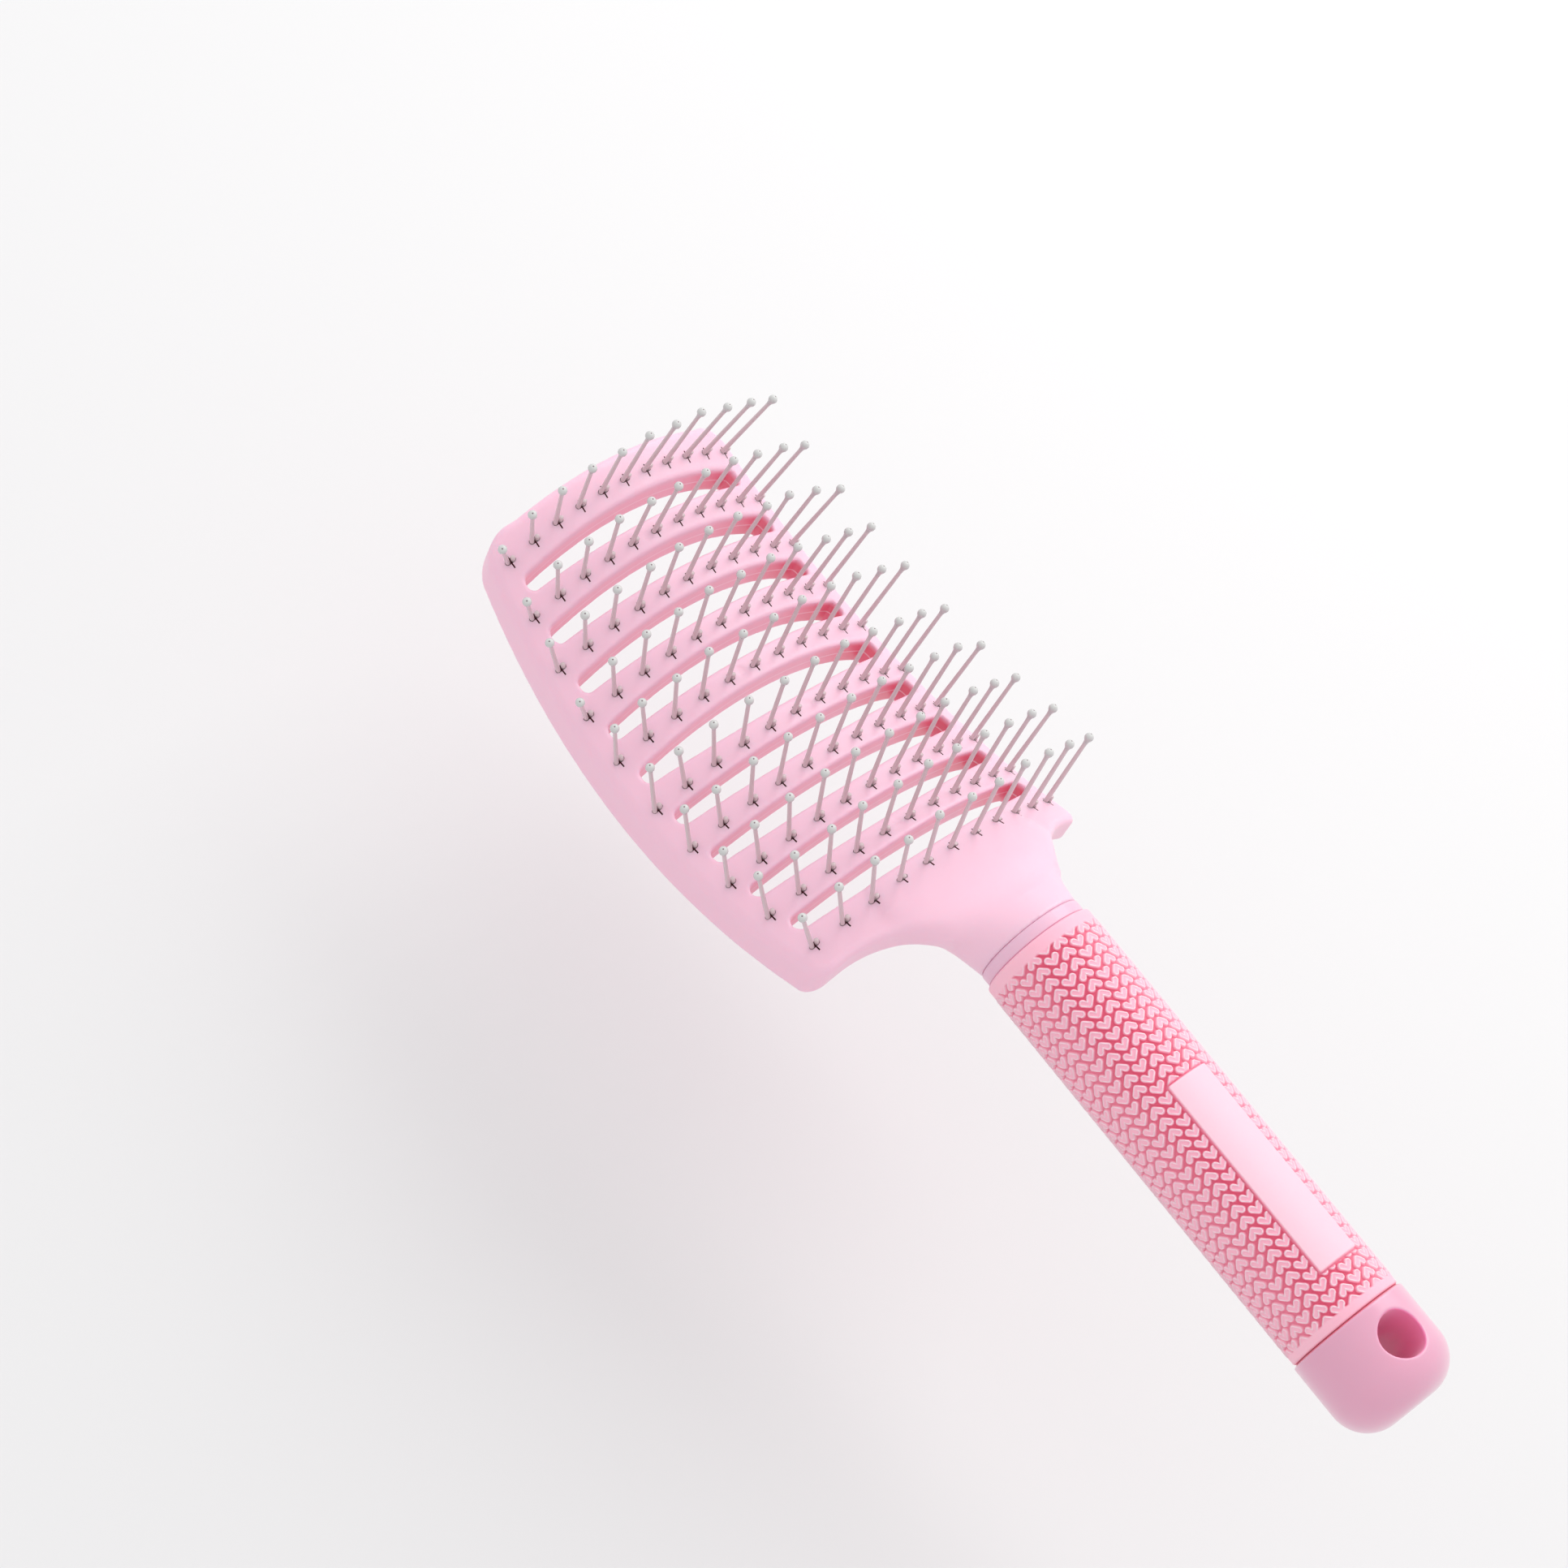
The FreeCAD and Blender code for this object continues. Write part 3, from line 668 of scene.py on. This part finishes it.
# Vent walls in painted shade: a deeper pink over most of the width, and painted deeper shade towards the
# -Y side
VENT_SHADE_PINK, VENT_DEEP_SHADE = linear(246, 180, 202), linear(238, 112, 142)
# The dark pink third colour is painted shade in the thin gap where the cap meets the sleeve.
# The deeper pink second colour is painted shade on the hole's wall.
CAP_PINK, HOLE_SHADE_PINK, JOINT_SHADE_PINK = linear(222, 160, 186), linear(242, 134, 182), linear(226, 70, 110)
COLLAR_LILAC = linear(234, 186, 208)
# The grip's colour by level, from a valley's floor to a heart's rim: painted shade deepening into the
# valleys and a painted highlight on the rims
GRIP_LEVELS = (0.0, 0.35, 0.66, 1.0)
# Two copies of that painted shading: a strong one, and a milder one used on the -Y side towards the key
# light and on the far +Y side
GRIP_STRONG_SHADING = (linear(228, 90, 124), linear(246, 148, 174), linear(252, 183, 203), linear(255, 226, 235))
GRIP_WEAK_SHADING = (linear(246, 156, 180), linear(248, 172, 192), linear(252, 189, 206), linear(254, 212, 223))
NYLON_GREY, NYLON_LEG = linear(206, 186, 190), linear(204, 186, 190)
# The balls are painted darker on their undersides: painted shade
BALL_UNDER_SHADE, BALL_GREY, BALL_DOT = linear(188, 186, 187), linear(208, 210, 208), linear(128, 110, 116)
# The anchor wire is coloured a dark maroon that stands for shade in the sockets' slits: painted shade
WIRE_SHADE_MAROON, FLOOR_GREY = linear(96, 30, 46), linear(222, 222, 223)
BLACK, WHITE = (0, 0, 0, 1), (1, 1, 1, 1)


def place_sockets(tree):
    """Sockets that give each point's X, Y and Z on the object, in metres."""
    coords = tree.nodes.new("ShaderNodeTexCoord")
    parts = tree.nodes.new("ShaderNodeSeparateXYZ")
    tree.links.new(coords.outputs["Object"], parts.inputs[0])
    return parts.outputs


def calculate(tree, operation, *sources):
    """A Math node's result from one or two sockets."""
    node = tree.nodes.new("ShaderNodeMath")
    node.operation = operation
    for socket, source in zip(node.inputs, sources):
        tree.links.new(source, socket)
    return node.outputs[0]


def fade(tree, source, start, stop):
    """A factor that runs from 0 to 1 as a socket goes from start to stop, in millimetres."""
    node = tree.nodes.new("ShaderNodeMapRange")
    node.inputs["From Min"].default_value = start * MM
    node.inputs["From Max"].default_value = stop * MM
    tree.links.new(source, node.inputs["Value"])
    return node.outputs[0]


def side_fade(tree, start, stop):
    """A factor that runs from 0 to 1 as Y goes from start to stop, in millimetres."""
    return fade(tree, place_sockets(tree)["Y"], start, stop)


def head_material():
    material, tree, shader = plastic("head_pink", HEAD_PINK, 0.38, 0.25)
    noise_bump(tree, shader, 900.0, 0.05, 0.0004)
    depth = read_value(tree, "depth")
    # Painted shade on the vent walls, deeper towards -Y
    wall = mix(tree, side_fade(tree, -13.0, -30.0), VENT_SHADE_PINK, VENT_DEEP_SHADE)
    line = ramp(tree, depth, [(0.465, BLACK), (0.50, WHITE), (0.535, BLACK)])
    # Painted highlight along the walls' parting line
    lined = mix(tree, line, wall, PARTING_HIGHLIGHT)
    inside = ramp(tree, depth, [(0.08, BLACK), (0.24, WHITE), (0.90, WHITE), (1.0, BLACK)])
    walls = mix(tree, inside, HEAD_PINK, lined)
    skin = mix(tree, read_value(tree, "slot"), HEAD_PINK, walls)
    # Painted shade inside the sockets, below the face
    colour = mix(tree, read_value(tree, "sunk"), skin, SOCKET_SHADE_RED)
    tree.links.new(colour, shader.inputs["Base Color"])
    return material


def sleeve_material():
    material, tree, shader = plastic("grip_pink", GRIP_WEAK_SHADING[-1], 0.55, 0.2)
    noise_bump(tree, shader, 1400.0, 0.08, 0.0003)
    level = read_value(tree, "level")
    deep = ramp(tree, level, list(zip(GRIP_LEVELS, GRIP_STRONG_SHADING)))
    pale = ramp(tree, level, list(zip(GRIP_LEVELS, GRIP_WEAK_SHADING)))
    # Painted shading: milder on the -Y side, which faces the key light, and on the far +Y side; stronger
    # between them
    lit = side_fade(tree, 0.1 * GRIP_R, -0.75 * GRIP_R)
    away = side_fade(tree, 0.60 * GRIP_R, 1.05 * GRIP_R)
    tone = mix(tree, calculate(tree, "MAXIMUM", lit, away), deep, pale)
    tree.links.new(tone, shader.inputs["Base Color"])
    return material


def cap_material():
    material, tree, shader = plastic("cap_pink", CAP_PINK, 0.30, 0.2)
    shader.inputs["Coat Weight"].default_value = 0.35
    shader.inputs["Coat Roughness"].default_value = 0.30
    shader.inputs["Sheen Weight"].default_value = 0.35
    noise_bump(tree, shader, 700.0, 0.04, 0.0004)
    place = place_sockets(tree)
    squares = [calculate(tree, "MULTIPLY", place[axis], place[axis]) for axis in ("X", "Y")]
    from_hole = calculate(tree, "SQRT", calculate(tree, "ADD", *squares))
    # Painted shade: the hole's wall in a deeper pink
    inside = fade(tree, from_hole, HOLE_R + 0.30, HOLE_R + 0.05)
    colour = mix(tree, inside, CAP_PINK, HOLE_SHADE_PINK)
    # Painted shade: a thin deep pink line where the cap meets the sleeve
    joint = fade(tree, place["X"], CAP_FACE - 0.10, CAP_FACE - 0.02)
    colour = mix(tree, joint, colour, JOINT_SHADE_PINK)
    tree.links.new(colour, shader.inputs["Base Color"])
    return material


def collar_material():
    material, tree, shader = plastic("collar_lilac", COLLAR_LILAC, 0.35, 0.2)
    noise_bump(tree, shader, 800.0, 0.04, 0.0004)
    return material


def pin_material():
    material, tree, shader = plastic("nylon", NYLON_GREY, 0.24, 0.15,
                                     (0.6, 0.6, 0.6), 0.001)
    noise_bump(tree, shader, 1200.0, 0.05, 0.0002)
    # Painted shade: darker under each ball
    tone = ramp(tree, read_value(tree, "height"),
                [(0.0, NYLON_GREY), (0.53, NYLON_LEG), (0.57, BALL_UNDER_SHADE), (0.66, BALL_GREY),
                 (0.85, BALL_DOT)])
    tree.links.new(tone, shader.inputs["Base Color"])
    return material


def wire_material():
    material, tree, shader = new_material("flat_wire")
    # Painted shade: the wire's dark maroon stands for the shaded slits
    shader.inputs["Base Color"].default_value = WIRE_SHADE_MAROON
    shader.inputs["Metallic"].default_value = 0.2
    shader.inputs["Roughness"].default_value = 0.6
    shader.inputs["Specular IOR Level"].default_value = 0.2
    noise_bump(tree, shader, 2000.0, 0.1, 0.0002)
    return material


def floor_material():
    material, tree, shader = new_material("pale_floor")
    shader.inputs["Base Color"].default_value = FLOOR_GREY
    shader.inputs["Roughness"].default_value = 0.7
    noise_bump(tree, shader, 60.0, 0.02, 0.001)
    return material


# ------------------------------------------------------------------ build

def give(obj, material):
    """Make this the object's only material."""
    obj.data.materials.clear()
    obj.data.materials.append(material)


head = make_head(HEAD_STEP)
give(head, head_material())
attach(head, "root")
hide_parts("head_body")

sleeve = make_sleeve(SLEEVE_STEP)
give(sleeve, sleeve_material())
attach(sleeve, "root")
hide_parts("grip_sleeve")

cap = make_cap(CAP_STEP)
give(cap, cap_material())
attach(cap, "root")
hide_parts("end_cap")

nylon = pin_material()
rng = np.random.default_rng(7)
for row in range(ROWS):
    pins = make_pins(row, rng)
    give(pins, nylon)
    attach(pins, "root")
    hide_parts("pin_row_%02d" % (row + 1))

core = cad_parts["handle_core"]
give(core, collar_material())
wire = wire_material()
for row in range(ROWS):
    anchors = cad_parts["anchor_row_%02d" % (row + 1)]
    give(anchors, wire)


# ------------------------------------------------------------------ stage

FLOOR_HALF, FLOOR_Z = 3000.0, -95.0
KEY_WAY, KEY_AT, KEY_DISTANCE = (0.25, -0.68, 0.69), (0.12, 0.0, 0.0), 1.1
KEY_SIZE, KEY_WATTS, KEY_COLOUR, SKY_STRENGTH = 0.9, 6.3, (1.0, 0.978, 0.96), 0.97
CAMERA_AT, LENS, SENSOR = (-20.452, 391.851, 574.817), 86.5947, 36.0
CAMERA_RIGHT = (-0.61163, -0.73451, 0.29395)
CAMERA_DOWN = (-0.75369, 0.42800, -0.49876)
CAMERA_AHEAD = (0.24054, -0.52660, -0.81537)


def make_floor():
    floor = new_object("floor", [(-FLOOR_HALF, -FLOOR_HALF, FLOOR_Z), (FLOOR_HALF, -FLOOR_HALF, FLOOR_Z),
                                 (FLOOR_HALF, FLOOR_HALF, FLOOR_Z), (-FLOOR_HALF, FLOOR_HALF, FLOOR_Z)],
                       [(0, 1, 2, 3)])
    give(floor, floor_material())


def make_key_light():
    """One large soft light from the -Y side, above."""
    light = bpy.data.lights.new("key", "AREA")
    light.size = KEY_SIZE
    light.energy = KEY_WATTS
    light.color = KEY_COLOUR
    obj = bpy.data.objects.new("key", light)
    bpy.context.scene.collection.objects.link(obj)
    way = Vector(KEY_WAY).normalized()
    obj.location = Vector(KEY_AT) + way * KEY_DISTANCE
    obj.rotation_euler = (-way).to_track_quat("-Z", "Y").to_euler()


def make_camera():
    data = bpy.data.cameras.new("camera")
    data.sensor_width = SENSOR
    data.lens = LENS
    data.clip_start, data.clip_end = 0.01, 50.0
    camera = bpy.data.objects.new("camera", data)
    bpy.context.scene.collection.objects.link(camera)
    turn = Matrix((CAMERA_RIGHT, -Vector(CAMERA_DOWN), -Vector(CAMERA_AHEAD))).transposed()
    camera.matrix_world = Matrix.Translation(Vector(CAMERA_AT) * MM) @ turn.to_4x4()
    bpy.context.scene.camera = camera


make_floor()
make_camera()
make_key_light()
world = bpy.data.worlds.new("studio")
bpy.context.scene.world = world
world.use_nodes = True
world.node_tree.nodes["Background"].inputs["Color"].default_value = WHITE
world.node_tree.nodes["Background"].inputs["Strength"].default_value = SKY_STRENGTH
bpy.context.scene.view_settings.view_transform = "Standard"
